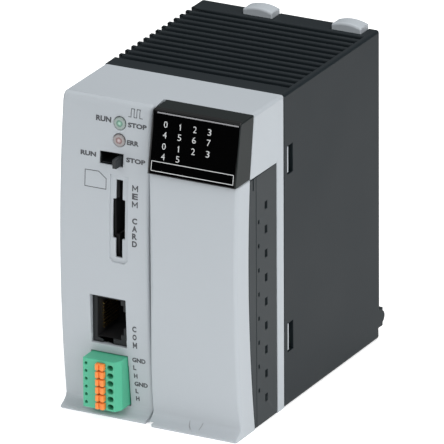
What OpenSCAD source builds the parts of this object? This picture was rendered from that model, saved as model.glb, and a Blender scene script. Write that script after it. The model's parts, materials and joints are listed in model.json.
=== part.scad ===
// Controller module for a rack: dark ventilated housing at the rear, light front
// frame with an interface panel on the left and a screw terminal block behind a
// hinged door on the right. X is to the right, Y to the rear, Z up, millimetres.
// The origin is at the middle of the footprint, on the bottom face.

/* [Housing] */
// Width of the module, two rack pitches
module_w = 60; // [59.8:0.1:60.2]
// Height of the module
module_h = 100; // [100:0.1:100.2]
// Wall thickness of the shells
wall = 2; // [1.8:0.1:2.1]
// Distance from the origin to the rear face
rear_y = 47; // [46.9:0.1:47.1]
// Distance from the origin back to the joint between frame and housing
seam_y = -16; // [-16.1:0.1:-15.9]
// Pitch of the vent slots
vent_pitch = 3.87; // [3.8:0.01:3.9]
// Width of one vent slot
vent_w = 2.4; // [1.7:0.1:2.4]
// Number of vent slots along the depth
vent_count = 13; // [9:1:13]

/* [Front] */
// Front face of the panel at half height
crown_y = -45.45; // [-45.5:0.01:-45.4]
// How far the door face stands in front of the panel face
door_step = 1.2; // [1.1:0.05:1.25]
// Height of the door's top edge
door_h = 80.5; // [80.4:0.05:80.55]
// Side position of the door's hinge axis
hinge_x = 3; // [2.95:0.01:3.05]
// Depth position of the door's hinge axis
hinge_y = -44.2; // [-44.25:0.01:-44.15]
// Radius of the hinge pins
hinge_r = 0.8; // [0.7:0.05:0.85]

/* [Terminals] */
// Screw terminals in one column
term_rows = 9; // [7:1:9]
// Pitch of the screw terminals
term_pitch = 7.66; // [7.6:0.01:7.68]
// Radius of the terminal screw's thread
term_screw_r = 1.25; // [1.2:0.05:1.3]

/* [Ports] */
// Pitch of the bus plug's poles
plug_pitch = 2.5; // [2.5:0.01:2.52]
// Travel of one release lever
lever_travel = 1.2; // [1:0.1:1.3]
// Thickness of the memory card slot
card_t = 1.6; // [1.5:0.1:1.7]
// Radius of the indicator lenses
lens_r = 2; // [1.9:0.05:2.05]

/* [Hidden] */
$fn = 48;

hw = module_w / 2;
light = [0.72, 0.74, 0.76];
dark = [0.22, 0.25, 0.27];
gap = 0.1;

// The front of the panel and of the door bulge forward on one shallow curve.
function bowed(z, step = 0) = crown_y - step + pow(z - 50, 2) / 760;
// Rear edge of the door's side flange: a shallow arc, furthest forward at mid height.
function flange_y(z) = -38.8 + pow(z - 52, 2) / (z < 52 ? 730 : 690);
// Face points from the concave foot up to the height top_z.
function face_pts(step, top_z, n = 22) =
    [for (i = [0:n]) let (z = 4 + (top_z - 4) * i / n) [bowed(z, step), z]];
// Lip that flares forward along the bottom edge.
function lip_pts(step, reach) = [
    [seam_y, 0], [-reach + 0.5, 0], [-reach, 0.45], [-reach, 0.8], [-reach + 0.55, 1.25],
    [bowed(4, step) - 1.5, 2.05], [bowed(4, step) - 0.5, 2.9]];

// Extrudes a (y, z) outline along X from x0 to x1.
module along_x(x0, x1) translate([x0, 0, 0]) rotate([90, 0, 90]) linear_extrude(height = x1 - x0) children();
// A box from its low corner to its high corner.
module box(a, b) translate(a) cube([b[0] - a[0], b[1] - a[1], b[2] - a[2]]);
// A round bar along Y.
module bar_y(x, z, y0, y1, r) translate([x, y0, z]) rotate([-90, 0, 0]) cylinder(r = r, h = y1 - y0);
// A round bar along X.
module bar_x(y, z, x0, x1, r) translate([x0, y, z]) rotate([0, 90, 0]) cylinder(r = r, h = x1 - x0);

// ---------------------------------------------------------------- housing
latch_x = [-8.5, 21.5];
snap_z = [[17.3, 26.5], [74, 83]];
card_x = -10.1;

// Openings through the shell, left apart by webs that lie below the surface.
module vents(z0, z1)
    for (i = [0:vent_count - 1])
        let (y = -8.5 + i * vent_pitch)
            for (s = [[-hw - 1, -19], [-17.2, -9], [-4.4, 7.4], [9.4, 20.8], [24, hw - 1.6]])
                box([s[0], y - vent_w / 2, z0], [s[1], y + vent_w / 2, z1]);
module grooves(z0, z1)
    for (i = [0:vent_count - 1])
        let (y = -8.5 + i * vent_pitch)
            box([-hw - 1, y - vent_w / 2, z0], [hw - 1.6, y + vent_w / 2, z1]);

module rear_housing() color(dark) difference() {
    union() {
        box([-hw, seam_y, 0], [hw, rear_y, module_h]);
        // hooks that swing into the rack's lower edge
        for (x = [-hw, hw - 2.4]) {
            box([x, rear_y - 0.5, 3.5], [x + 2.4, 49.2, 9.5]);
            bar_x(48.5, 6.5, x, x + 2.4, 2);
        }
    }
    // inside, with a solid band left across the top rear edge for the latches
    box([-hw + wall, seam_y - 1, wall], [hw - wall, rear_y - wall, module_h - 7]);
    box([-hw + wall, seam_y - 1, module_h - 8], [hw - wall, 39, module_h - wall]);
    // vents through top and bottom
    vents(module_h - wall - 1, module_h + 1);
    vents(-1, wall + 1);
    grooves(module_h - 1.1, module_h + 1);
    grooves(-1, 1.1);
    // windows for the frame's snap hooks
    for (x = [-hw - 1, hw - wall - 1], z = snap_z) box([x, -13.8, z[0]], [x + wall + 2, -10.2, z[1]]);
    // latch pockets, stem slots and hook windows
    for (x = latch_x) {
        box([x - 5.2, 40.9, module_h - 4.6], [x + 5.2, rear_y + 1, module_h + 1]);
        box([x - 3.2, 41.8, 90], [x + 3.2, 44.8, module_h - 4]);
        box([x - 1.9, 44, 84.2], [x + 1.9, rear_y + 1, 92.9]);
    }
    // window for the rack connector
    box([-17.2, rear_y - wall - 1, 27.8], [17.2, rear_y + 1, 72.2]);
    // battery opening in the left wall
    box([-hw - 1, 5.8, 19.8], [-hw + wall + 1, 36.2, 38.2]);
    // scallops along the left top edge between the ribs
    for (i = [0:vent_count - 1])
        bar_x(-8.5 + i * vent_pitch, module_h + 0.4, -hw - 1, -hw + 1.2, vent_w / 2 + 0.15);
}

module spring_shelf() color(dark) for (x = latch_x) box([x - 3, 41, 74], [x + 3, rear_y - wall, 76]);

// ---------------------------------------------------------------- front frame
module frame_outline() polygon(concat(
    lip_pts(0, 46.4), face_pts(0, 97.4),
    [[bowed(98.6) + 0.25, 98.6], [bowed(99.4) + 0.75, 99.4], [bowed(100) + 1.7, module_h], [seam_y, module_h]]));

module frame_hollow() polygon(concat(
    [[seam_y + 1, wall], [bowed(4) + wall, wall]],
    [for (i = [0:22]) let (z = 4 + 94 * i / 22) [bowed(z) + wall, min(z, module_h - wall)]],
    [[seam_y + 1, module_h - wall]]));

// Pocket cut into the panel from behind, leaving a skin of thickness t.
module panel_pocket(x0, x1, z0, z1, t) along_x(x0, x1) polygon(concat(
    [for (i = [0:12]) let (z = z0 + (z1 - z0) * i / 12) [bowed(z) + t, z]],
    [[-40, z1], [-40, z0]]));
// Shallow recess in the panel's face round the card slot, its lower corners cut off.
module card_recess() intersection() {
    along_x(-14, -6) polygon(concat(
        [for (i = [0:12]) let (z = 49 + 29 * i / 12) [bowed(z) + 0.5, z]], [[-50, 78], [-50, 49]]));
    translate([0, -38, 0]) rotate([90, 0, 0]) linear_extrude(height = 14)
        polygon([[-13.1, 77.2], [-13.1, 50.9], [-12, 49.8], [-8.25, 49.8], [-7.15, 50.9], [-7.15, 77.2]]);
}
// Slim arm from the wall beside the terminal bay to the door's hinge axis.
tongue_angle = 122;
module hinge_tongue(grow, h) linear_extrude(height = h) {
    circle(r = 1.5 + grow);
    rotate([0, 0, tongue_angle]) translate([0, -0.85 - grow]) square([7.3, 1.7 + 2 * grow]);
}

module front_frame() color(light) difference() {
    union() {
        difference() {
            along_x(-hw, hw) frame_outline();
            along_x(-hw + wall, -wall) frame_hollow();
            // bay of the terminal block and its door
            box([0, -60, -1], [hw + 1, -20.4, 80.2]);
            box([0, -60, 70], [hw + 1, -37.3, 80.72]);
            // room for the display cover, along its sloping rear edge
            along_x(0, hw + 1) polygon([[-60, 80.1], [-37.78, 80.1], [-34.9, 100.1], [-60, 100.1]]);
            // behind the display, and the way through to the left column
            box([0, -45, 82.2], [hw - wall, seam_y + 1, module_h - wall]);
            box([-wall - 1, -38, 82.2], [1, seam_y + 1, module_h - wall]);
            // behind the terminal bay's back wall
            box([-1, -18.4, wall], [hw - wall, seam_y + 1, 80.2]);
        }
        // snap hooks
        for (s = [-1, 1], z = snap_z) {
            box([s > 0 ? hw - wall - 1.3 : -hw + wall + 0.1, -17.5, z[0] + 0.4],
                [s > 0 ? hw - wall - 0.1 : -hw + wall + 1.3, -12.6, z[1] - 0.4]);
            box([s > 0 ? hw - wall - 1.3 : -hw + wall - 0.3, -18.3, z[0] + 0.4],
                [s > 0 ? hw - wall + 0.3 : -hw + wall + 1.3, seam_y, z[1] - 0.4]);
            box([s > 0 ? hw - wall - 0.5 : -hw + 0.3, -13.6, z[0] + 0.4],
                [s > 0 ? hw - 0.3 : -hw + wall + 0.5, -12.6, z[1] - 0.4]);
        }
        // tongue that carries the door's lower hinge pin, hidden behind the door's lip
        translate([hinge_x, hinge_y, 0]) hinge_tongue(0, 1.2);
    }
    // hole for the lower hinge pin
    translate([hinge_x, hinge_y, -1]) cylinder(r = hinge_r + 0.05, h = 3);
    // indicator holes
    bar_y(-10.5, 93.2, -50, -38, lens_r + 0.06);
    bar_y(-10.45, 88, -50, -38, lens_r + 0.06);
    // mode switch slot
    box([-16.8, -50, 80], [-9, -40, 83.9]);
    // memory card slot with a wider finger cut-out
    box([card_x - card_t / 2 - 0.4, -50, 51.4], [card_x + card_t / 2 + 0.2, -38, 75.8]);
    box([-12.3, -50, 57.4], [-8.2, -38, 69.7]);
    // thinner panel round the card slot and the switch slot
    panel_pocket(-13, -6.6, 50.4, 77.4, 1.2);
    panel_pocket(-18.1, -7.7, 78.6, 85.3, 0.7);
    card_recess();
    // the end of the lip gives way to the door's turning lip
    translate([hinge_x, hinge_y, 1.25]) cylinder(r = 3.65, h = 2.2);
    difference() {
        translate([hinge_x, hinge_y, -1]) cylinder(r = 3.65, h = 2.4);
        translate([hinge_x, hinge_y, -2]) hinge_tongue(0, 4);
    }
    // lower corner of the fixed lip cut back on a slant, clear of the door's lip when the door is open
    translate([0, -44.5, 0]) rotate([90, 0, 0]) linear_extrude(height = 6)
        polygon([[-1.15, -1], [0.1, -1], [0.1, 2.4], [0, 2.4], [-1.15, 1.3]]);
    // modular jack and bus plug windows
    box([-20, -50, 22.6], [-8, -38, 38.2]);
    box([-20.3, -50, 3.5], [-7.8, -38, 20]);
    // terminal header window
    box([5.6, -21, 6.3], [26.4, -18, 73.1]);
    // retaining screws of the terminal block
    for (z = block_screw_z) bar_y(15.5, z, -21, -18, 1.25);
}

module terminal_door() color(light) difference() {
    union() {
        intersection() {
            difference() {
                along_x(0.35, hw) polygon(concat(lip_pts(door_step, 47.6), face_pts(door_step, door_h), [[seam_y, door_h]]));
                // inside of the door, open to the rear
                along_x(-1, hw - 1.8) polygon(concat([[seam_y + 1, -1], [bowed(4, door_step) + wall, -1]],
                    [for (i = [0:22]) let (z = 4 + (door_h - 5.6) * i / 22) [bowed(z, door_step) + wall, min(z, door_h - 1.6)]],
                    [[seam_y + 1, door_h - 1.6]]));
                // rear edge of the side flange and of the top flange
                along_x(-1, hw + 1) polygon(concat([[seam_y + 1, -1]],
                    [for (i = [0:24]) let (z = -1 + (door_h + 2) * i / 24) [flange_y(z), z]], [[seam_y + 1, door_h + 1]]));
            }
            // round nose about the hinge axis, so that the edge clears the panel as it turns
            union() {
                box([hinge_x, -60, -1], [hw + 1, 0, 90]);
                translate([hinge_x, hinge_y, -1]) cylinder(r = 2.6, h = 92);
                translate([hinge_x, hinge_y, -1]) cylinder(r = 3.4, h = 4.1);
            }
        }
        // upper hinge pin
        translate([hinge_x, hinge_y, 79]) cylinder(r = hinge_r, h = 3.4);
    }
    // room for the frame's tongue at every angle of the door
    translate([hinge_x, hinge_y, -1]) linear_extrude(height = 2.4) {
        circle(r = 1.75);
        for (a = [-2, 102]) rotate([0, 0, tongue_angle + a]) translate([0, -1.05]) square([9, 2.1]);
        polygon(concat([[0, 0]], [for (a = [-2:13:102]) 8.9 * [cos(tongue_angle + a), sin(tongue_angle + a)]]));
    }
    // snap recess near the free edge
    box([hw - 3.4, -40.6, 38], [hw - 1.2, -39.6, 44]);
}

module door_pin() color(light) translate([hinge_x, hinge_y, 0.05]) cylinder(r = hinge_r, h = 2.1);

module label_card() color([0.93, 0.93, 0.9]) along_x(7, 26) polygon(concat(
    [for (i = [0:12]) let (z = 12 + 62 * i / 12) [bowed(z, door_step) + wall + 0.02, z]],
    [for (i = [12:-1:0]) let (z = 12 + 62 * i / 12) [bowed(z, door_step) + wall + 0.35, z]]));

// ---------------------------------------------------------------- display
module display_cover() color([0.06, 0.06, 0.07]) difference() {
    along_x(0.5, hw) polygon([[-37.7, 80.7], [-47.2, 80.7], [-43.62, 98.9], [-43.35, 99.6], [-42.7, module_h], [-35.0, module_h]]);
    along_x(2.1, hw - 1.6) polygon([[-30, 82.7], [-45.2, 82.7], [-42.1, 98.4], [-30, 98.4]]);
    // hole for the door's upper hinge pin
    translate([hinge_x, hinge_y, 80]) cylinder(r = hinge_r + 0.05, h = 4);
}

module display_light_guide() color([0.85, 0.88, 0.9]) difference() {
    along_x(2.3, hw - 2.05) polygon([[-36.5, 83.2], [-43.5, 83.2], [-41.6, 97.8], [-36.5, 97.8]]);
    for (i = [0:3], j = [0:3]) bar_y(5.6 + i * 4.85, 96 - 2.95 * j, -37, -36, 0.9);
}

module display_leds() color([0.95, 0.9, 0.6])
    for (i = [0:3], j = [0:3]) if (j < 3 || i < 2)
        box([5 + i * 4.85, -36.4, 95.5 - 2.95 * j], [6.2 + i * 4.85, -35.1, 96.5 - 2.95 * j]);

module display_board() color([0.1, 0.35, 0.2]) difference() {
    union() {
        box([-19, -35, 84.6], [27.4, -33.4, 97]);
        box([-19, -35, 78.5], [-2.6, -33.4, 85]);
    }
    for (x = [-16.5, 25]) bar_y(x, 94.6, -40, -30, 1.1);
}

module lens(x, z) {
    bar_y(x, z, bowed(z) - 0.25, bowed(z) + 3, lens_r);
    bar_y(x, z, bowed(z) + 2, -37.2, 1.5);
}
module run_led_lens() color([0.6, 0.85, 0.7]) lens(-10.5, 93.2);
module fault_led_lens() color([0.8, 0.5, 0.45]) lens(-10.45, 88);
module status_leds() color([0.95, 0.95, 0.9]) for (z = [93.2, 88]) {
    box([-11.4, -35.6, z - 0.9], [-9.6, -35, z + 0.9]);
    bar_y(-10.5, z, -36.9, -35.5, 0.8);
}

// ---------------------------------------------------------------- mode switch
knob_x = [-10.6, -9.3];
module mode_switch_body() color([0.12, 0.13, 0.14]) difference() {
    box([-17.8, -42.9, 78.9], [-8, -35, 85]);
    box([-16.9, -44, 80.2], [-8.9, -38, 83.7]);
}
module mode_switch_knob() color([0.2, 0.21, 0.22]) {
    box([knob_x[0], -47.9, 80.5], [knob_x[1], -41, 83.3]);
    box([knob_x[0] - 0.3, -41.2, 80.6], [knob_x[1] + 0.3, -38.2, 83.3]);
}

// ---------------------------------------------------------------- boards
module cpu_board() color([0.1, 0.35, 0.2]) difference() {
    box([-24, -38, 4], [-22.4, 40, 92]);
    box([-25, 4, 3], [-22, 41, 42]);
    for (p = [[-12, 88], [36, 88], [-30, 46]]) bar_x(p[0], p[1], -25, -22, 1.6);
}
module io_board() color([0.1, 0.35, 0.2]) difference() {
    union() {
        box([-6.9, -38, 4], [-5.3, 40, 77]);
        box([-6.9, -30, 76], [-5.3, 40, 92]);
    }
    for (p = [[-10, 86], [35, 86], [35, 10]]) bar_x(p[0], p[1], -8, -5, 1.6);
}
module power_board() color([0.12, 0.3, 0.18]) difference() {
    box([24.2, -15, 6], [25.8, 40, 92]);
    for (p = [[-10, 10], [35, 10], [-10, 86], [35, 86]]) bar_x(p[0], p[1], 23, 27, 1.6);
}
module rear_board() color([0.1, 0.35, 0.2]) difference() {
    box([-21, 40.4, 22], [22, 42, 73.6]);
    for (x = [-19.6, 20.6], z = [25, 71]) bar_y(x, z, 39, 43, 0.9);
}
module processor() color([0.13, 0.13, 0.14]) box([-22.4, -14, 54], [-20.2, 12, 80]);
module memory_chips() color([0.13, 0.13, 0.14]) for (z = [50, 64, 78]) box([-22.4, 18, z - 4], [-21.2, 32, z + 4]);
module board_connectors() color([0.15, 0.15, 0.16]) {
    box([-22.4, 36, 48], [-19.6, 40.3, 72]);
    box([-9.6, 36, 30], [-6.9, 40.3, 70]);
    box([21.6, 36, 30], [24.2, 40.3, 70]);
}
module power_transformer() color([0.75, 0.62, 0.3]) {
    box([8, 6, 50], [24.2, 28, 54]);
    box([8, 6, 66], [24.2, 28, 70]);
    box([8, 6, 53], [24.2, 9, 67]);
    box([8, 25, 53], [24.2, 28, 67]);
    box([12, 10.5, 54], [22, 23.5, 66]);
}
module power_capacitors() color([0.2, 0.22, 0.4]) for (p = [[-4, 30], [-4, 46], [14, 30]])
    bar_x(p[0], p[1], 6, 24.2, 6);

// ---------------------------------------------------------------- ports
module card_socket() color([0.7, 0.7, 0.72]) difference() {
    box([-12.8, -42.9, 50.7], [-6.95, -12, 77.1]);
    box([card_x - card_t / 2, -44, 51.5], [card_x + card_t / 2, -13.5, 75.7]);
    box([-12.1, -44, 58], [-8, -38, 69.7]);
}

module rj45_jack() color([0.2, 0.22, 0.23]) difference() {
    union() {
        box([-22.4, -42.2, 22], [-7.5, -27, 38.7]);
        // nose that fills the window in the panel
        box([-19.9, -43.6, 22.7], [-8.1, -42, 38.1]);
    }
    // socket, stepped on the right for the latch tongue
    box([-18.3, -45, 24.5], [-10.5, -30, 37]);
    box([-11, -45, 26.2], [-9.6, -30, 35.5]);
    box([-10, -45, 28.5], [-8.5, -30, 33.6]);
    // notch in the lower rim
    box([-16.4, -45, 21], [-13.2, -40.5, 24.4]);
}
module rj45_contacts() color([0.85, 0.7, 0.3]) for (i = [0:7])
    box([-18.2, -40.5, 26.3 + i * 1.06], [-17.7, -31, 26.7 + i * 1.06]);

plug_z = 5.5;
function pole_z(i) = plug_z + i * plug_pitch;
module bus_header() color([0.3, 0.62, 0.48]) difference() {
    box([-22.4, -40.4, 2.6], [-7, -30, 20.9]);
    box([-20.2, -44, 3.5], [-7.9, -31.5, 20]);
    for (i = [0:5]) bar_x_y(-14.2, pole_z(i));
}
module bar_x_y(x, z) bar_y(x, z, -33, -29, 0.52);
module bus_header_pins() color([0.85, 0.85, 0.8]) for (i = [0:5]) {
    bar_y(-14.2, pole_z(i), -36.8, -27.5, 0.5);
    bar_x(-28, pole_z(i), -22.3, -13.9, 0.5);
}

module bus_plug() color([0.25, 0.7, 0.5]) difference() {
    // outline seen from above: flat front, sloping right shoulder
    translate([0, 0, 3.8]) linear_extrude(height = 15.9)
        polygon([[-20.1, -31.8], [-20.1, -50], [-9.45, -50], [-8.05, -47.5], [-8.05, -31.8]]);
    for (i = [0:5]) let (z = pole_z(i)) {
        // test point, lever slot, wire funnel
        bar_y(-18.95, z, -51, -44, 0.5);
        box([-15.4, -51, z - 0.25 - 1.08], [-12.4, -46.5, z - 0.25 + 1.08]);
        bar_y(-11.0, z - 0.3, -51, -41, 0.85);
        bar_y(-10.6, z - 0.3, -51, -46, 0.85);
        // socket for the header pin
        bar_y(-14.2, z, -37.5, -31, 0.58);
        box([-15.2, -45.6, z - 0.9], [-10.2, -37.4, z + 0.9]);
    }
}
module bus_plug_contacts() color([0.8, 0.75, 0.5]) for (i = [0:5]) let (z = pole_z(i)) difference() {
    box([-15.1, -45.4, z - 0.8], [-12.3, -37.6, z + 0.8]);
    box([-14.6, -45.5, z - 0.5], [-12.8, -40, z + 0.5]);
}
module lever(i) color([0.95, 0.5, 0.15]) let (z = pole_z(i) - 0.25) difference() {
    box([-15.3, -51.3, z - 1], [-12.5, -46.5 - lever_travel - 0.1, z + 1]);
    box([-14.2, -52, z - 1.1], [-13.6, -50.8, z + 1.1]);
}
module bus_plug_lever_1() lever(0);
module bus_plug_lever_2() lever(1);
module bus_plug_lever_3() lever(2);
module bus_plug_lever_4() lever(3);
module bus_plug_lever_5() lever(4);
module bus_plug_lever_6() lever(5);

// ---------------------------------------------------------------- terminal block
term_x = [10.2, 20.8];
term_z0 = 40 - (term_rows - 1) / 2 * term_pitch - 1.6;
function term_z(i, c) = term_z0 + i * term_pitch + (c == 0 ? 0 : 2.2);
block_screw_z = [2.5, 77];
block_l = 0.8;
block_r = hw - 0.1;

module terminal_block_base() color([0.3, 0.33, 0.34]) difference() {
    box([block_l, -33.6, 0.3], [block_r, -20.6, 80]);
    for (i = [0:term_rows - 1], c = [0, 1]) let (z = term_z(i, c), x = term_x[c]) {
        box([x - 4.3, -34, z - 2.7], [x + 4.3, -29.5, z + 2.7]);
        bar_y(x, z, -30, -23, term_screw_r + 0.3);
        box([x - 3.4, -30, z - 0.6], [x - 1.9, -20, z + 0.6]);
    }
    // gauging holes along the right side
    for (i = [0:8]) box([block_r - 1.6, -28.2, 6.57 + i * 7.675], [block_r + 1, -26.6, 8.97 + i * 7.675]);
    for (i = [0:7]) box([block_r - 1, -32.5, 10.95 + i * 7.675], [block_r + 1, -31.6, 12.15 + i * 7.675]);
    // retaining screw holes
    for (z = block_screw_z) bar_y(15.5, z, -34, -20, 1.3);
}

module terminal_block_shroud() color([0.3, 0.33, 0.34]) difference() {
    union() {
        box([block_l, -36.9, 0.3], [hw - 2, -33.8, 80]);
        // side wall that meets the door's flange
        along_x(hw - 2, block_r) polygon(concat(
            [for (i = [0:20]) let (z = 0.3 + 79.7 * i / 20) [flange_y(z) + 0.3, z]], [[-33.8, 80], [-33.8, 0.3]]));
    }
    for (i = [0:term_rows - 1], c = [0, 1]) let (z = term_z(i, c), x = term_x[c])
        box([x - 4.3, -38, z - 2.7], [x + 4.3, -33, z + 2.7]);
    for (z = block_screw_z) bar_y(15.5, z, -38, -33, 1.3);
    // short slot at the top of the side wall
    box([hw - 0.6, -35.8, 76.3], [hw + 1, -35.2, 80.5]);
}

module terminal_screws() color([0.8, 0.8, 0.78]) for (i = [0:term_rows - 1], c = [0, 1])
    let (z = term_z(i, c), x = term_x[c]) difference() {
        union() {
            bar_y(x, z, -33.2, -31.4, 2.5);
            bar_y(x, z, -32, -23.6, term_screw_r);
        }
        box([x - 2.6, -33.4, z - 0.35], [x + 2.6, -32.4, z + 0.35]);
        box([x - 0.35, -33.4, z - 1.6], [x + 0.35, -32.4, z + 1.6]);
    }
module terminal_clamp_plates() color([0.78, 0.78, 0.74]) for (i = [0:term_rows - 1], c = [0, 1])
    let (z = term_z(i, c), x = term_x[c]) difference() {
        box([x - 3.7, -31.3, z - 2.5], [x + 3.7, -30.4, z + 2.5]);
        bar_y(x, z, -32, -30, term_screw_r + 0.2);
    }
module terminal_straps() color([0.78, 0.72, 0.5]) for (i = [0:term_rows - 1], c = [0, 1])
    let (z = term_z(i, c), x = term_x[c]) difference() {
        union() {
            box([x - 4, -30.3, z - 2.5], [x + 4, -29.6, z + 2.5]);
            box([x - 3.2, -30, z - 0.4], [x - 2.1, -18, z + 0.4]);
        }
        bar_y(x, z, -31, -29, term_screw_r + 0.05);
    }
module terminal_retaining_screws() color([0.75, 0.75, 0.74]) for (z = block_screw_z) difference() {
    union() {
        bar_y(15.5, z, -37.9, -37, 1.7);
        bar_y(15.5, z, -37.2, -18.6, 1.15);
    }
    box([13.5, -38.3, z - 0.25], [17.5, -37.5, z + 0.25]);
}
module terminal_header() color([0.14, 0.15, 0.16]) difference() {
    union() {
        box([5.8, -20.3, 6.5], [26.2, -15.2, 72.9]);
        box([4.2, -18.3, 5], [26.4, -16.4, 74.4]);
    }
    for (i = [0:term_rows - 1], c = [0, 1]) let (z = term_z(i, c), x = term_x[c])
        box([x - 3.4, -21, z - 0.6], [x - 1.9, -16, z + 0.6]);
}

// ---------------------------------------------------------------- rack side
module rack_connector() color([0.16, 0.17, 0.18]) difference() {
    box([-17, 42, 28], [17, rear_y - 0.4, 72]);
    box([-14.5, 43.5, 30.5], [-3.5, rear_y + 1, 69.5]);
    box([3.5, 43.5, 30.5], [14.5, rear_y + 1, 69.5]);
}
module rack_connector_contacts() color([0.85, 0.7, 0.3])
    for (i = [0:11], x = [-11, -7, 7, 11]) box([x - 0.3, 43.5, 33 + i * 3], [x + 0.3, 46, 33.6 + i * 3]);

module latch(x) color(light) {
    // thumb pad, arched across its width
    intersection() {
        box([x - 4.9, 41.2, module_h - 2.2], [x + 4.9, 46.6, module_h + 4]);
        translate([x, 0, module_h - 10.5]) rotate([-90, 0, 0]) cylinder(r = 13, h = 60, $fn = 96);
    }
    box([x - 3, 42.1, 84.2], [x + 3, 44.5, module_h - 2]);
    // hook nose with a lead-in slope
    translate([x - 1.6, 0, 0]) rotate([90, 0, 90]) linear_extrude(height = 3.2)
        polygon([[44, 86.4], [46.6, 86.4], [49.3, 89.6], [49.3, 90.6], [44, 90.6]]);
}
module latch_left() latch(latch_x[0]);
module latch_right() latch(latch_x[1]);
module coil(x) color([0.75, 0.76, 0.78]) {
    for (i = [0:5]) translate([x, 43.1, 76.3 + i * 1.46]) rotate_extrude() translate([1.5, 0]) circle(r = 0.25, $fn = 16);
    translate([x + 1.5, 43.1, 76.3]) cylinder(r = 0.2, h = 7.3, $fn = 16);
}
module latch_spring_left() coil(latch_x[0]);
module latch_spring_right() coil(latch_x[1]);

// ---------------------------------------------------------------- battery
module battery() color([0.3, 0.4, 0.6]) {
    translate([-18.6, 8.6, 29]) rotate([-90, 0, 0]) cylinder(r = 7.2, h = 24.6);
    translate([-18.6, 33, 29]) rotate([-90, 0, 0]) cylinder(r = 2.2, h = 0.9);
}
module battery_holder() color([0.16, 0.17, 0.18]) difference() {
    box([-26.6, 6.4, 19.9], [-9.8, 36, 36.8]);
    box([-28, 8.2, 21.4], [-11.2, 34.4, 38]);
}
module battery_cover() color(dark) difference() {
    union() {
        box([-hw, 6, 20], [-hw + wall, 36, 38]);
        box([-hw + 1, 8.6, 22.6], [-hw + 3.2, 10, 35.4]);
        box([-hw + 1, 32, 22.6], [-hw + 3.2, 33.4, 35.4]);
    }
    // finger groove
    translate([-hw - 1.2, 12, 23]) cylinder(r = 2, h = 12);
}

union() { rear_housing(); spring_shelf(); }
front_frame();
display_cover();
display_light_guide();
display_leds();
display_board();
run_led_lens();
fault_led_lens();
status_leds();
mode_switch_body();
mode_switch_knob();
cpu_board();
io_board();
processor();
memory_chips();
card_socket();
rj45_jack();
rj45_contacts();
bus_header();
bus_header_pins();
bus_plug();
bus_plug_lever_1();
bus_plug_lever_2();
bus_plug_lever_3();
bus_plug_lever_4();
bus_plug_lever_5();
bus_plug_lever_6();
bus_plug_contacts();
union() { terminal_door(); door_pin(); }
label_card();
terminal_block_base();
terminal_block_shroud();
terminal_screws();
terminal_straps();
terminal_clamp_plates();
terminal_retaining_screws();
terminal_header();
power_board();
power_transformer();
power_capacitors();
rear_board();
rack_connector();
rack_connector_contacts();
board_connectors();
latch_left();
latch_right();
latch_spring_left();
latch_spring_right();
battery();
battery_holder();
battery_cover();
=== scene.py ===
import json
import math

import bmesh
import bpy
from mathutils import Matrix, Vector

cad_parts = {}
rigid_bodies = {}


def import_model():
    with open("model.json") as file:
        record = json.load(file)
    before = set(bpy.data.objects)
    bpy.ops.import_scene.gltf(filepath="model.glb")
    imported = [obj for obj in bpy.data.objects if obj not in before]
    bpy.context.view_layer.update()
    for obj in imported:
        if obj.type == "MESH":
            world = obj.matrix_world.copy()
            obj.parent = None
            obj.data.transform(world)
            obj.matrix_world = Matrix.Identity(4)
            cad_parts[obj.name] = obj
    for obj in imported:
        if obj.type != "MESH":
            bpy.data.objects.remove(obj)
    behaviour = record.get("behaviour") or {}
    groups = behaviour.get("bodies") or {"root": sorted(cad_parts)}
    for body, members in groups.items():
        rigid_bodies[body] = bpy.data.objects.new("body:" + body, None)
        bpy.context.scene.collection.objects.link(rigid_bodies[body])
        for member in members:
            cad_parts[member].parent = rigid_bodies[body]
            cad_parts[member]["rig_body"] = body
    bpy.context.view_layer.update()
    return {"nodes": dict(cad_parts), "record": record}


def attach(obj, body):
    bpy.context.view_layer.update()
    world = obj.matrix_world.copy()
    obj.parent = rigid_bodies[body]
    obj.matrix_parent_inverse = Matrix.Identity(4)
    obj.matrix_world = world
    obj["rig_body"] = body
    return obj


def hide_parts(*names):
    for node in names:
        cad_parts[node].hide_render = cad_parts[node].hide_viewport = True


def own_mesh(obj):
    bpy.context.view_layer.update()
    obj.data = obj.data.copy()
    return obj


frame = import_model()
nodes = frame["nodes"]
MM = 0.001
col = bpy.context.scene.collection

# ------------------------------------------------------------------ camera
# A long lens from the front right, a little above.
AZ, EL, ROLL = math.radians(27.9249), math.radians(21.2898), math.radians(-0.3618)
DIST = 2.8726
back = Vector((math.sin(AZ) * math.cos(EL), -math.cos(AZ) * math.cos(EL), math.sin(EL)))
right = Vector((math.cos(AZ), math.sin(AZ), 0))
up = back.cross(right)
right2 = math.cos(ROLL) * right + math.sin(ROLL) * up
up2 = -math.sin(ROLL) * right + math.cos(ROLL) * up
aim = Vector((0, -0.015, 0.050))
eye = aim + back * DIST
target = aim + right2 * 0.007633 + up2 * 0.003863
cam_data = bpy.data.cameras.new("camera")
cam_data.sensor_width = 36
cam_data.lens = 780.2
cam_data.clip_start, cam_data.clip_end = 0.1, 50
cam = bpy.data.objects.new("camera", cam_data)
col.objects.link(cam)
zc = (eye - target).normalized()
xc = up2.cross(zc).normalized()
yc = zc.cross(xc)
cam.matrix_world = Matrix.Translation(eye) @ Matrix((xc, yc, zc)).transposed().to_4x4()
bpy.context.scene.camera = cam

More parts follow.
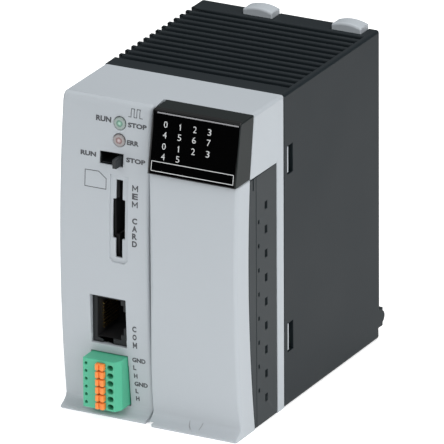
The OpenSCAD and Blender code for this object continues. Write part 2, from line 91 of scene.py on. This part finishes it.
# ------------------------------------------------------------------ light and floor
scene = bpy.context.scene
scene.view_settings.view_transform = "Standard"
scene.view_settings.look = "None"
world = bpy.data.worlds.new("studio")
scene.world = world
world.use_nodes = True
wnt = world.node_tree
wbg = wnt.nodes["Background"]
wbg.inputs["Color"].default_value = (0.97, 0.985, 1.0, 1)
w_tc = wnt.nodes.new("ShaderNodeTexCoord")
w_sep = wnt.nodes.new("ShaderNodeSeparateXYZ")
w_map = wnt.nodes.new("ShaderNodeMapRange")
w_map.interpolation_type = "SMOOTHSTEP"
for k, v in (("From Min", 0.12), ("From Max", 0.85), ("To Min", 0.015), ("To Max", 0.80)):
    w_map.inputs[k].default_value = v
w_path = wnt.nodes.new("ShaderNodeLightPath")
w_mix = wnt.nodes.new("ShaderNodeMix")
wnt.links.new(w_tc.outputs["Generated"], w_sep.inputs[0])
wnt.links.new(w_sep.outputs["Z"], w_map.inputs["Value"])
wnt.links.new(w_path.outputs["Is Camera Ray"], w_mix.inputs[0])
wnt.links.new(w_map.outputs["Result"], w_mix.inputs[2])
w_mix.inputs[3].default_value = 1.0
wnt.links.new(w_mix.outputs[0], wbg.inputs["Strength"])


def area(name, loc, look, size, power, colour=(1, 1, 1), spread=180):
    data = bpy.data.lights.new(name, "AREA")
    data.shape = "RECTANGLE"
    data.size, data.size_y = size
    data.energy = power
    data.color = colour
    data.spread = math.radians(spread)
    o = bpy.data.objects.new(name, data)
    col.objects.link(o)
    o.location = loc
    o.rotation_mode = "QUATERNION"
    o.rotation_quaternion = (Vector(look) - Vector(loc)).to_track_quat("-Z", "Y")
    return o


area("key_right", (1.0, -0.30, 0.60), (0, 0, 0.05), (0.7, 0.7), 6.3)
area("front_fill", (-0.10, -1.05, 0.80), (0, 0, 0.05), (0.9, 0.5), 4.35)
area("top", (0.0, 0.25, 1.1), (0, 0, 0.05), (0.7, 0.7), 2.95)


# ------------------------------------------------------------------ materials
def principled(name):
    m = bpy.data.materials.new(name)
    m.use_nodes = True
    nt = m.node_tree
    return m, nt, nt.nodes["Principled BSDF"]


def add(nt, kind, **kw):
    n = nt.nodes.new(kind)
    for k, v in kw.items():
        setattr(n, k, v)
    return n


def plastic(name, base, rough=0.45, grain=0.5, cell=0.16, tint=0.05, ior=1.47, rough_var=0.08, spec=None):
    """Moulded plastic: spark-eroded grain in the surface, faint flow clouds in colour and gloss."""
    m, nt, b = principled(name)
    tc = add(nt, "ShaderNodeTexCoord")
    big = add(nt, "ShaderNodeTexNoise")
    big.inputs["Scale"].default_value = 38
    big.inputs["Detail"].default_value = 3
    nt.links.new(tc.outputs["Object"], big.inputs["Vector"])
    fine = add(nt, "ShaderNodeTexNoise")
    fine.inputs["Scale"].default_value = 1000 / cell / 4
    fine.inputs["Detail"].default_value = 2
    nt.links.new(tc.outputs["Object"], fine.inputs["Vector"])
    ramp = add(nt, "ShaderNodeMix", data_type="RGBA")
    ramp.inputs[6].default_value = (*[c * (1 - tint) for c in base], 1)
    ramp.inputs[7].default_value = (*[min(1, c * (1 + tint)) for c in base], 1)
    both = add(nt, "ShaderNodeMath", operation="MULTIPLY_ADD")
    nt.links.new(fine.outputs["Fac"], both.inputs[0])
    both.inputs[1].default_value = 0.35
    half = add(nt, "ShaderNodeMath", operation="MULTIPLY")
    nt.links.new(big.outputs["Fac"], half.inputs[0])
    half.inputs[1].default_value = 0.65
    nt.links.new(half.outputs[0], both.inputs[2])
    nt.links.new(both.outputs[0], ramp.inputs[0])
    nt.links.new(ramp.outputs[2], b.inputs["Base Color"])
    r = add(nt, "ShaderNodeMapRange")
    r.inputs["To Min"].default_value = max(0.02, rough - rough_var)
    r.inputs["To Max"].default_value = min(1, rough + rough_var)
    r.inputs["From Min"].default_value = 0.3
    r.inputs["From Max"].default_value = 0.7
    nt.links.new(big.outputs["Fac"], r.inputs["Value"])
    nt.links.new(r.outputs["Result"], b.inputs["Roughness"])
    if grain > 0:
        bump = add(nt, "ShaderNodeBump")
        bump.inputs["Strength"].default_value = grain
        bump.inputs["Distance"].default_value = 0.00003
        nt.links.new(fine.outputs["Fac"], bump.inputs["Height"])
        nt.links.new(bump.outputs["Normal"], b.inputs["Normal"])
    b.inputs["IOR"].default_value = ior
    if spec is not None:
        b.inputs["Specular IOR Level"].default_value = spec
    return m


def metal(name, base, rough=0.25, brushed=False):
    m, nt, b = principled(name)
    tc = add(nt, "ShaderNodeTexCoord")
    mp = add(nt, "ShaderNodeMapping")
    mp.inputs["Scale"].default_value = (1, 12, 1) if brushed else (1, 1, 1)
    n = add(nt, "ShaderNodeTexNoise")
    n.inputs["Scale"].default_value = 900
    nt.links.new(tc.outputs["Object"], mp.inputs["Vector"])
    nt.links.new(mp.outputs["Vector"], n.inputs["Vector"])
    r = add(nt, "ShaderNodeMapRange")
    r.inputs["To Min"].default_value = rough * 0.7
    r.inputs["To Max"].default_value = rough * 1.4
    nt.links.new(n.outputs["Fac"], r.inputs["Value"])
    nt.links.new(r.outputs["Result"], b.inputs["Roughness"])
    mx = add(nt, "ShaderNodeMix", data_type="RGBA")
    mx.inputs[6].default_value = (*[c * 0.88 for c in base], 1)
    mx.inputs[7].default_value = (*base, 1)
    nt.links.new(n.outputs["Fac"], mx.inputs[0])
    nt.links.new(mx.outputs[2], b.inputs["Base Color"])
    b.inputs["Metallic"].default_value = 1.0
    return m


def board_material(name, mask, copper):
    """Solder resist over copper: a fine maze of tracks, with gold pads where the resist is open."""
    m, nt, b = principled(name)
    tc = add(nt, "ShaderNodeTexCoord")
    br = add(nt, "ShaderNodeTexBrick")
    br.inputs["Scale"].default_value = 420
    br.inputs["Mortar Size"].default_value = 0.12
    br.inputs["Color1"].default_value = (*mask, 1)
    br.inputs["Color2"].default_value = (*[c * 1.5 for c in mask], 1)
    br.inputs["Mortar"].default_value = (*copper, 1)
    mp = add(nt, "ShaderNodeMapping")
    mp.inputs["Rotation"].default_value = (0, math.radians(90), 0)
    nt.links.new(tc.outputs["Object"], mp.inputs["Vector"])
    nt.links.new(mp.outputs["Vector"], br.inputs["Vector"])
    vo = add(nt, "ShaderNodeTexVoronoi")
    vo.inputs["Scale"].default_value = 260
    nt.links.new(tc.outputs["Object"], vo.inputs["Vector"])
    lt = add(nt, "ShaderNodeMath", operation="LESS_THAN")
    lt.inputs[1].default_value = 0.16
    nt.links.new(vo.outputs["Distance"], lt.inputs[0])
    mx = add(nt, "ShaderNodeMix", data_type="RGBA")
    nt.links.new(lt.outputs[0], mx.inputs[0])
    nt.links.new(br.outputs["Color"], mx.inputs[6])
    mx.inputs[7].default_value = (0.8, 0.62, 0.28, 1)
    nt.links.new(mx.outputs[2], b.inputs["Base Color"])
    b.inputs["Roughness"].default_value = 0.35
    return m


LIGHT = (0.414, 0.446, 0.474)
M = {
    "frame_light": plastic("frame_light", LIGHT, rough=0.5, grain=0.35, tint=0.02, spec=0.45, rough_var=0.03),
    "housing_dark": plastic("housing_dark", (0.0075, 0.0122, 0.0152), rough=0.55, grain=0.6, cell=0.22, tint=0.08, spec=0.22, rough_var=0.015),
    "display_black": plastic("display_black", (0.0008, 0.0008, 0.0009), rough=0.05, grain=0.0, rough_var=0.02, ior=1.45, spec=0.35),
    "display_side": plastic("display_side", (0.0085, 0.0122, 0.0122), rough=0.5, grain=0.4, tint=0.08, spec=0.2, rough_var=0.02),
    "terminal_grey": plastic("terminal_grey", (0.0160, 0.0220, 0.0250), rough=0.5, grain=0.5, tint=0.08, spec=0.25, rough_var=0.02),
    "connector_dark": plastic("connector_dark", (0.0075, 0.0098, 0.0112), rough=0.42, grain=0.3, tint=0.08, spec=0.3),
    "knob_grey": plastic("knob_grey", (0.013, 0.016, 0.018), rough=0.45, grain=0.3, spec=0.4),
    "plug_green": plastic("plug_green", (0.078, 0.430, 0.262), rough=0.42, grain=0.3, tint=0.05, spec=0.4),
    "lever_orange": plastic("lever_orange", (0.88, 0.255, 0.050), rough=0.4, grain=0.25, tint=0.05, spec=0.4),
    "light_guide": plastic("light_guide", (0.75, 0.78, 0.8), rough=0.3, grain=0.1),
    "led_resin": plastic("led_resin", (0.85, 0.82, 0.6), rough=0.15, grain=0.0),
    "chip_black": plastic("chip_black", (0.018, 0.018, 0.02), rough=0.6, grain=0.6, cell=0.1),
    "capacitor_sleeve": plastic("capacitor_sleeve", (0.02, 0.025, 0.08), rough=0.35, grain=0.1),
    "battery_wrap": plastic("battery_wrap", (0.06, 0.16, 0.35), rough=0.3, grain=0.05),
    "card_paper": plastic("card_paper", (0.82, 0.82, 0.79), rough=0.8, grain=0.3, tint=0.03),
    "winding": plastic("winding", (0.62, 0.42, 0.12), rough=0.4, grain=0.5),
    "contact_gold": metal("contact_gold", (0.85, 0.62, 0.25), 0.22),
    "tinned_metal": metal("tinned_metal", (0.72, 0.72, 0.70), 0.28),
    "spring_steel": metal("spring_steel", (0.55, 0.56, 0.58), 0.25, True),
    "board_green": board_material("board_green", (0.012, 0.085, 0.03), (0.03, 0.17, 0.06)),
    "legend_grey": plastic("legend_grey", (0.060, 0.063, 0.070), rough=0.55, grain=0.1),
    "legend_white": plastic("legend_white", (0.56, 0.57, 0.57), rough=0.5, grain=0.1),
    "slot_shadow": plastic("slot_shadow", (0.006, 0.006, 0.007), rough=0.7, grain=0.1),
}


def lens_material(name, cx, cz, painted_centre_glint, deep, body):
    """Frosted lens: the lamp's tint shows around the middle, with a painted highlight at the very centre; the pale body
    darkens to a painted shade ring at its outer edge, with a moulded diffuser pattern.
    """
    m, nt, b = principled(name)
    tc = add(nt, "ShaderNodeTexCoord")
    mp = add(nt, "ShaderNodeMapping")
    mp.inputs["Location"].default_value = (-cx * MM, 0, -cz * MM)
    flat = add(nt, "ShaderNodeVectorMath", operation="MULTIPLY")
    flat.inputs[1].default_value = (1000, 0, 1000)
    ln = add(nt, "ShaderNodeVectorMath", operation="LENGTH")
    nt.links.new(tc.outputs["Object"], mp.inputs["Vector"])
    nt.links.new(mp.outputs["Vector"], flat.inputs[0])
    nt.links.new(flat.outputs["Vector"], ln.inputs[0])
    vo = add(nt, "ShaderNodeTexVoronoi", feature="DISTANCE_TO_EDGE")
    vo.inputs["Scale"].default_value = 1300
    nt.links.new(tc.outputs["Object"], vo.inputs["Vector"])
    jit = add(nt, "ShaderNodeMath", operation="MULTIPLY_ADD")
    nt.links.new(vo.outputs["Distance"], jit.inputs[0])
    jit.inputs[1].default_value = 0.5
    nt.links.new(ln.outputs["Value"], jit.inputs[2])
    div = add(nt, "ShaderNodeMath", operation="DIVIDE")
    nt.links.new(jit.outputs[0], div.inputs[0])
    div.inputs[1].default_value = 2.4
    cr = add(nt, "ShaderNodeValToRGB")
    e = cr.color_ramp.elements
    # painted highlight: the lighter colour at the very centre stands for a glint on the lens dome
    e[0].position, e[0].color = 0.10, (*painted_centre_glint, 1)
    e[1].position, e[1].color = 0.36, (*deep, 1)
    n = e.new(0.56)
    n.color = (*body, 1)
    # painted shade: towards the outer edge the body darkens to 0.8 and then a quarter of its colour, shade around the
    # lens rim
    n = e.new(0.80)
    n.color = (*[c * 0.8 for c in body], 1)
    n = e.new(0.88)
    n.color = (*[c * 0.25 for c in body], 1)
    nt.links.new(div.outputs[0], cr.inputs["Fac"])
    nt.links.new(cr.outputs["Color"], b.inputs["Base Color"])
    bump = add(nt, "ShaderNodeBump")
    bump.inputs["Strength"].default_value = 0.4
    bump.inputs["Distance"].default_value = 0.00008
    nt.links.new(vo.outputs["Distance"], bump.inputs["Height"])
    nt.links.new(bump.outputs["Normal"], b.inputs["Normal"])
    b.inputs["Roughness"].default_value = 0.18
    b.inputs["Coat Weight"].default_value = 0.5
    return m


# the first colour in each call is the painted centre highlight
M["lens_green"] = lens_material("lens_green", -10.5, 93.2, (0.30, 0.50, 0.40), (0.050, 0.17, 0.115), (0.25, 0.31, 0.29))
M["lens_red"] = lens_material("lens_red", -10.45, 88, (0.46, 0.38, 0.38), (0.155, 0.060, 0.058), (0.27, 0.25, 0.25))
# painted shade: a darker grey for the shade in the two shallow grooves by the door pull
M["mark_shadow"] = plastic("mark_shadow", (0.26, 0.275, 0.29), rough=0.6, grain=0.1)
# painted highlight: a light grey strip material standing in for the glint along the display's top front edge
M["painted_edge_highlight"] = plastic("painted_edge_highlight", (0.28, 0.28, 0.29), rough=0.25, grain=0.0)

slot_of = {s["node"]: s["material_slot"] for s in frame["record"]["subparts"]}
body_of = {n: o["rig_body"] for n, o in nodes.items()}


def bowed(z, step=0.0):
    """Face of panel (step 0) or door (step 1.2), in mm."""
    return -45.45 - step + (z - 50) ** 2 / 760


def along(points, z):
    """y on a (z, y) polyline."""
    for (z0, y0), (z1, y1) in zip(points, points[1:]):
        if z <= z1:
            return y0 + (y1 - y0) * (z - z0) / (z1 - z0)
    return points[-1][1]


def panel_y(z):
    if z > 97.4:
        return along([(97.4, bowed(97.4)), (98.6, bowed(98.6) + 0.25), (99.4, bowed(99.4) + 0.75)], z)
    return bowed(z)


def door_y(z):
    if z < 4:
        f = bowed(4, 1.2)
        return along([(0.8, -47.6), (1.25, -47.05), (2.05, f - 1.5), (2.9, f - 0.5), (4, f)], z)
    return bowed(z, 1.2)


def display_y(z):
    return -47.2 + (z - 80.7) * 3.58 / 18.2


# ------------------------------------------------------------------ tools
def weld(node, dissolve=0.15):
    """A clean copy of a CAD node's mesh: welded, coplanar triangles merged into faces. In mm."""
    me = nodes[node].data.copy()
    bm = bmesh.new()
    bm.from_mesh(me)
    bpy.data.meshes.remove(me)
    bmesh.ops.scale(bm, vec=(1000, 1000, 1000), verts=bm.verts)
    bmesh.ops.remove_doubles(bm, verts=bm.verts, dist=0.0005)
    bmesh.ops.dissolve_degenerate(bm, dist=0.0005, edges=bm.edges)
    bmesh.ops.dissolve_limit(bm, angle_limit=math.radians(dissolve), verts=bm.verts, edges=bm.edges, use_dissolve_boundaries=False)
    # many-cornered flat faces go back to clean triangles, so that they shade evenly
    big = [f for f in bm.faces if len(f.verts) > 10]
    bmesh.ops.triangulate(bm, faces=big, quad_method="BEAUTY", ngon_method="BEAUTY")
    bm.normal_update()
    return bm


def finish_piece(bm, name, body, material, replaces=(), bevel=None, smooth_angle=35, extra=(), limit=0.0):
    """bm (mm) becomes a piece that rides on body. bevel(edge) gives an edge's rounding in mm, or 0."""
    layer = bm.edges.layers.float.get("bevel_weight_edge") or bm.edges.layers.float.new("bevel_weight_edge")
    wmax = 0
    if bevel:
        widths = {}
        for e in bm.edges:
            e[layer] = 0
            if len(e.link_faces) == 2 and e.calc_face_angle(0) > math.radians(22):
                w = bevel(e)
                if limit:
                    near = [f.calc_length() for v in e.verts for f in v.link_edges]
                    w = min(w, limit * min(near))
                if w > 0:
                    widths[e] = w
        wmax = max(widths.values()) if widths else 0
        for e, w in widths.items():
            e[layer] = w / wmax
    bmesh.ops.scale(bm, vec=(MM, MM, MM), verts=bm.verts)
    me = bpy.data.meshes.new(name)
    bm.to_mesh(me)
    bm.free()
    o = bpy.data.objects.new(name, me)
    col.objects.link(o)
    me.materials.append(M[material])
    for x in extra:
        me.materials.append(M[x])
    for p in me.polygons:
        p.use_smooth = True
    if wmax:
        mod = o.modifiers.new("round", "BEVEL")
        mod.limit_method = "WEIGHT"
        mod.width = wmax * MM
        mod.segments = 3
        mod.use_clamp_overlap = False
        mod.miter_outer = "MITER_ARC"
        mod.harden_normals = False
        mod.loop_slide = False
    me.set_sharp_from_angle(angle=math.radians(smooth_angle))
    wn = o.modifiers.new("normals", "WEIGHTED_NORMAL")
    wn.keep_sharp = True
    wn.weight = 60
    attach(o, body)
    if replaces:
        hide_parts(*replaces)
    return o


def refine(node, material=None, bevel=lambda e: 0.15, smooth_angle=35, dissolve=0.15, name=None, extra=(), limit=0.0):
    bm = weld(node, dissolve)
    return finish_piece(bm, name or node + "_shell", body_of[node], material or slot_of[node], replaces=[node],
                        bevel=bevel, smooth_angle=smooth_angle, extra=extra, limit=limit)


def mid(e):
    return (e.verts[0].co + e.verts[1].co) / 2


def direction(e):
    return (e.verts[1].co - e.verts[0].co).normalized()


def convex(e):
    f, g = e.link_faces[0], e.link_faces[1]
    return (g.calc_center_median() - f.calc_center_median()).dot(f.normal) < 0


# ------------------------------------------------------------------ housing
def bevel_housing(e):
    p, d = mid(e), direction(e)
    outer_x = abs(abs(p.x) - 30) < 0.02
    if outer_x and abs(d.y) > 0.98 and (p.z > 99.9 or p.z < 0.1):
        return 1.0 if p.x > 0 else 0.45
    if p.y > 46.9 and p.y < 47.1 and (outer_x or p.z > 99.9 or p.z < 0.1):
        return 0.8
    if outer_x and p.z < 99 and p.z > 1 and -15 < p.y < -9:
        return 0.12
    if not convex(e):
        return 0
    if p.y < -15.9:
        return 0.3 if outer_x or p.z > 99.9 or p.z < 0.1 else 0.12
    if (p.z > 99.9 or p.z < 0.1) and abs(d.x) > 0.98 and -10 < p.y < 39.5:
        return 0.5
    if p.z > 97.9 or p.z < 2.1:
        return 0.14
    return 0.12


housing = refine("rear_housing", bevel=bevel_housing)


# ------------------------------------------------------------------ front frame
def bevel_frame(e):
    p, d = mid(e), direction(e)
    if p.y > -16.2:
        if convex(e) and (abs(abs(p.x) - 30) < 0.02 or p.z > 99.9 or p.z < 0.1):
            return 0.4
        return 0.1 if convex(e) else 0
    if not convex(e):
        return 0.1 if p.y < -20.6 and p.x > 0 and p.x < 29 else 0
    # long outer corner edges
    if abs(abs(p.x) - 30) < 0.02:
        if p.z > 99.95 and abs(d.y) > 0.9:
            return 1.0
        if abs(d.y) < 0.98 and p.y < -21:
            return 0.7
        return 0.3
    if abs(p.x) < 0.02 and p.y < -40:
        return 1.0 if p.z > 5 else 0.3
    if abs(p.x) < 0.02:
        return 0.15
    if p.y < -41 and -20.5 < p.x < -7.5 and 3 < p.z < 96:
        return 0.22
    return 0.2


front = refine("front_frame", bevel=bevel_frame, dissolve=0.1)


# ------------------------------------------------------------------ door
def bevel_door(e):
    p, d = mid(e), direction(e)
    if not convex(e):
        return 0
    if abs(p.x - 30) < 0.02:
        if p.z > 80.4 and abs(d.y) > 0.7:
            return 0.5
        if p.y < -41:
            return max(0.16, min(1.1, 0.16 + (p.z - 1.5) * 0.09))
        return 0.2
    if p.z > 80.4 and p.y < -44:
        return 0.5
    if (p - Vector((3, -44.2, p.z))).length < 1.2:
        return 0.08
    if p.z < 3:
        return 0.12
    return 0.2


door = refine("terminal_door", bevel=bevel_door, dissolve=0.1)


# ------------------------------------------------------------------ display
def bevel_display(e):
    p, d = mid(e), direction(e)
    if not convex(e):
        return 0
    if p.z < 80.8:
        return 0.35 if p.y < -46 else 0.12
    if abs(p.x - 0.5) < 0.02:
        return 0.9 if p.y < -42.6 or p.z > 99.9 else 0.12
    if abs(p.x - 30) < 0.02:
        return 0.45 if p.y < -42 or p.z > 99.9 else 0.15
    return 0.12


bm = weld("display_cover")
bmesh.ops.bisect_plane(bm, geom=bm.verts[:] + bm.edges[:] + bm.faces[:], plane_co=(0, -41.7, 0), plane_no=(0, 1, 0))
display = finish_piece(bm, "display_cover_shell", "chassis", "display_black", replaces=["display_cover"], bevel=bevel_display, extra=["display_side"])
for poly in display.data.polygons:
    c, n = poly.center * 1000, poly.normal
    if n.x > 0.9 or (n.z > 0.9 and c.z > 99.9 and c.y > -41.6):
        poly.material_index = 1


# ------------------------------------------------------------------ printed legends, with a painted highlight strip and painted groove shade
def glyphs(bm, text, box, face, bold=0.0, height=0.03, sink=0.03):
    """Adds text to bm (mm) as closed letters filling box (x0, z0, x1, z1), laid on the surface y = face(z)."""
    cu = bpy.data.curves.new("glyph", "FONT")
    cu.body = text
    cu.size = 1
    cu.extrude = 0.1
    cu.offset = bold
    cu.resolution_u = 3
    tmp = bpy.data.objects.new("glyph", cu)
    col.objects.link(tmp)
    dg = bpy.context.evaluated_depsgraph_get()
    me = bpy.data.meshes.new_from_object(tmp.evaluated_get(dg))
    bpy.data.objects.remove(tmp)
    bpy.data.curves.remove(cu)
    xs = [v.co.x for v in me.vertices]
    zs = [v.co.y for v in me.vertices]
    x0, z0, x1, z1 = box
    sx = (x1 - x0) / (max(xs) - min(xs))
    sz = (z1 - z0) / (max(zs) - min(zs))
    verts = []
    for v in me.vertices:
        x = x0 + (v.co.x - min(xs)) * sx
        z = z0 + (v.co.y - min(zs)) * sz
        y = face(z) + (-height if v.co.z > 0 else sink)
        verts.append(bm.verts.new((x, y, z)))
    for poly in me.polygons:
        vs = [verts[i] for i in poly.vertices]
        if len(set(vs)) >= 3:
            try:
                bm.faces.new(vs)
            except ValueError:
                pass
    bpy.data.meshes.remove(me)


def strokes(bm, path, width, face, height=0.03, sink=0.03, closed=False):
    """A drawn line as a chain of thin boxes on the surface y = face(z). Points are (x, z) in mm."""
    pts = [Vector(p) for p in path]
    if closed:
        pts.append(pts[0])
    for a, b in zip(pts, pts[1:]):
        n = max(1, int((b - a).length / 2.5), int(abs(b.y - a.y) / 0.45))
        d = (b - a).normalized()
        side = Vector((-d.y, d.x)) * width / 2
        for i in range(n):
            p = a.lerp(b, i / n) - (d * width / 2 if i == 0 else d * 0)
            q = a.lerp(b, (i + 1) / n) + (d * width / 2 if i == n - 1 else d * 0)
            ring = [p + side, p - side, q - side, q + side]
            top = [bm.verts.new((c.x, face(c.y) - height, c.y)) for c in ring]
            low = [bm.verts.new((c.x, face(c.y) + sink, c.y)) for c in ring]
            bm.faces.new(top)
            bm.faces.new(low[::-1])
            for k in range(4):
                bm.faces.new((top[k], low[k], low[(k + 1) % 4], top[(k + 1) % 4]))


STROKE = {
    "M": [[(0, 0), (0, 1), (0.5, 0.3), (1, 1), (1, 0)]],
    "1": [[(0.1, 0.74), (0.62, 0.97), (0.62, 0)]],
}


def stroke_letter(bm, ch, box, face, width):
    x0, z0, x1, z1 = box
    h = width / 2
    for line in STROKE[ch]:
        strokes(bm, [(x0 + h + u * (x1 - x0 - width), z0 + h + v * (z1 - z0 - width)) for u, v in line], width, face)


def print_piece(bm, name, body, material):
    bmesh.ops.remove_doubles(bm, verts=bm.verts, dist=0.002)
    bmesh.ops.recalc_face_normals(bm, faces=bm.faces)
    bmesh.ops.scale(bm, vec=(MM, MM, MM), verts=bm.verts)
    me = bpy.data.meshes.new(name)
    bm.to_mesh(me)
    bm.free()
    o = bpy.data.objects.new(name, me)
    col.objects.link(o)
    me.materials.append(M[material])
    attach(o, body)
    return o


bm = bmesh.new()
for text, box in (
    ("RUN", (-18.5, 92.9, -13.4, 94.6)),
    ("STOP", (-7.8, 92.5, -1.5, 94.0)),
    ("ERR", (-7.9, 87.1, -3.9, 88.6)),
    ("RUN", (-23.2, 81.7, -18.0, 83.2)),
    ("STOP", (-7.9, 81.8, -1.5, 83.3)),
    ("GND", (-6.4, 18.5, -1.9, 20.0)),
    ("L", (-6.2, 15.9, -5.2, 17.4)),
    ("H", (-6.1, 13.2, -4.9, 14.7)),
    ("GND", (-6.1, 10.6, -1.6, 12.1)),
    ("L", (-5.9, 8.2, -4.9, 9.7)),
    ("H", (-5.9, 5.7, -4.7, 7.2)),
):
    glyphs(bm, text, box, panel_y, bold=0.045)
for word, top, pitch, w in (("MEM", 75.1, 2.5, 1.95), ("CARD", 64.9, 2.4, 1.7), ("COM", 30.3, 2.65, 1.4)):
    for i, ch in enumerate(word):
        z1 = top - i * pitch
        cx = -4.65 if word != "COM" else -5.25
        box = (cx - w / 2, z1 - 1.9, cx + w / 2, z1)
        if ch == "M":
            stroke_letter(bm, ch, box, panel_y, 0.34)
        else:
            glyphs(bm, ch, box, panel_y, bold=0.045)
# pulse symbol
strokes(bm, [(-7.7, 95.7), (-6.9, 95.7), (-6.9, 98.2), (-5.9, 98.2), (-5.9, 95.7), (-5.0, 95.7), (-5.0, 98.2), (-4.0, 98.2), (-4.0, 95.7), (-3.1, 95.7)], 0.2, panel_y)
# outline of a memory card
strokes(bm, [(-21.5, 77.4), (-17.0, 77.5), (-14.4, 75.6), (-14.4, 72.3), (-21.5, 72.3)], 0.2, panel_y, closed=True)
print_piece(bm, "panel_legends", "chassis", "legend_grey")

bm = bmesh.new()
for j, row in enumerate(("0123", "4567", "0123", "45")):
    for i, ch in enumerate(row):
        x = (5.5, 10.35, 15.2, 20.05)[i]
        z = (95.95, 92.85, 89.5, 86.45)[j]
        w = 0.7 if ch == "1" else 1.2
        box = (x - w / 2, z - 0.95, x + w / 2, z + 0.95)
        if ch == "1":
            stroke_letter(bm, ch, box, display_y, 0.26)
        else:
            glyphs(bm, ch, box, display_y, bold=-0.004)
strokes(bm, [(1.9, 81.9), (29.1, 81.9), (29.1, 84.75), (1.9, 84.75)], 0.2, display_y, closed=True)
print_piece(bm, "display_digits", "chassis", "legend_white")

# painted highlight: a thin light grey strip laid along the display's top front edge, in place of the light that edge
# catches
bm = bmesh.new()
strokes(bm, [(2.6, 99.1), (29.2, 99.1)], 0.34, lambda z: along([(98.9, -43.62), (99.6, -43.35)], max(98.9, z)), height=0.05)
print_piece(bm, "display_painted_highlight", "chassis", "painted_edge_highlight")

# painted shade: the two shallow converging grooves by the door pull drawn as darker strips on the door face
bm = bmesh.new()
strokes(bm, [(12.97, 3.11), (13.05, 2.6), (13.43, 1.96), (14.2, 1.5), (15.0, 1.16)], 0.22, door_y)
strokes(bm, [(17.34, 3.19), (17.2, 2.6), (16.97, 1.76), (16.75, 1.2)], 0.22, door_y)
print_piece(bm, "door_groove_painted_shade", "terminal_door", "mark_shadow")


# ------------------------------------------------------------------ smaller parts
def small(w):
    return lambda e: w if convex(e) else 0


def bevel_plug(e):
    p = mid(e)
    if not convex(e):
        return 0
    if p.y < -49.9 and (abs(p.x + 20.1) < 0.02 or abs(p.x + 9.75) < 0.1 or p.z < 3.9 or p.z > 19.6):
        return 0.3
    if abs(p.x + 8.05) < 0.05 or abs(p.x + 20.1) < 0.02:
        return 0.25
    return 0.08


refine("bus_plug", bevel=bevel_plug, limit=0.45)
for i in range(1, 7):
    refine("bus_plug_lever_%d" % i, bevel=small(0.18), limit=0.4)
refine("bus_header", bevel=small(0.15), limit=0.4)
jack = refine("rj45_jack", bevel=small(0.22), limit=0.4, extra=["slot_shadow"])
for poly in jack.data.polygons:
    c = poly.center * 1000
    if c.y > -43.3 and -18.6 < c.x < -8.2 and 24 < c.z < 37.6:
        poly.material_index = 1
card = refine("card_socket", bevel=small(0.12), limit=0.4, extra=["slot_shadow"])
for poly in card.data.polygons:
    if (poly.center * 1000).y < -12.5:
        poly.material_index = 1
refine("mode_switch_body", bevel=small(0.15), limit=0.4)
refine("mode_switch_knob", bevel=small(0.22), limit=0.4)
refine("terminal_block_base", bevel=small(0.14), limit=0.4)
refine("terminal_block_shroud", bevel=small(0.14), limit=0.4)
refine("terminal_header", bevel=small(0.12), limit=0.4)
for n in ("latch_left", "latch_right"):
    refine(n, bevel=lambda e: 0 if not convex(e) or (mid(e).z < 97.7 and abs(direction(e).z) > 0.9)
           else 0.7 if mid(e).z > 100.2 and abs(direction(e).y) < 0.5 else 0.25)
refine("battery_cover", bevel=small(0.2), limit=0.4)
refine("rack_connector", bevel=small(0.25), limit=0.4)
refine("terminal_screws", bevel=small(0.12), limit=0.4)
refine("terminal_retaining_screws", bevel=small(0.12), limit=0.4)
refine("run_led_lens", bevel=lambda e: 0.25 if mid(e).y < -43 and convex(e) else 0)
refine("fault_led_lens", bevel=lambda e: 0.25 if mid(e).y < -43 and convex(e) else 0)

for n in nodes:
    o = nodes[n]
    if o.hide_render:
        continue
    o.data.materials.clear()
    o.data.materials.append(M[slot_of[n]])

# ------------------------------------------------------------------ floor
bm = bmesh.new()
bmesh.ops.create_grid(bm, x_segments=2, y_segments=2, size=0.7)
me = bpy.data.meshes.new("floor")
bm.to_mesh(me)
bm.free()
floor = bpy.data.objects.new("floor", me)
col.objects.link(floor)
fm, fnt, fb = principled("floor_white")
fb.inputs["Base Color"].default_value = (0.86, 0.86, 0.86, 1)
fb.inputs["Roughness"].default_value = 0.9
fb.inputs["Specular IOR Level"].default_value = 0.1
fb.inputs["Emission Color"].default_value = (1, 1, 1, 1)
fb.inputs["Emission Strength"].default_value = 0.55
me.materials.append(fm)

# each latch spring, fixed at its lower end, gets its own copy of its mesh
for side in ("left", "right"):
    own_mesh(nodes["latch_spring_" + side])
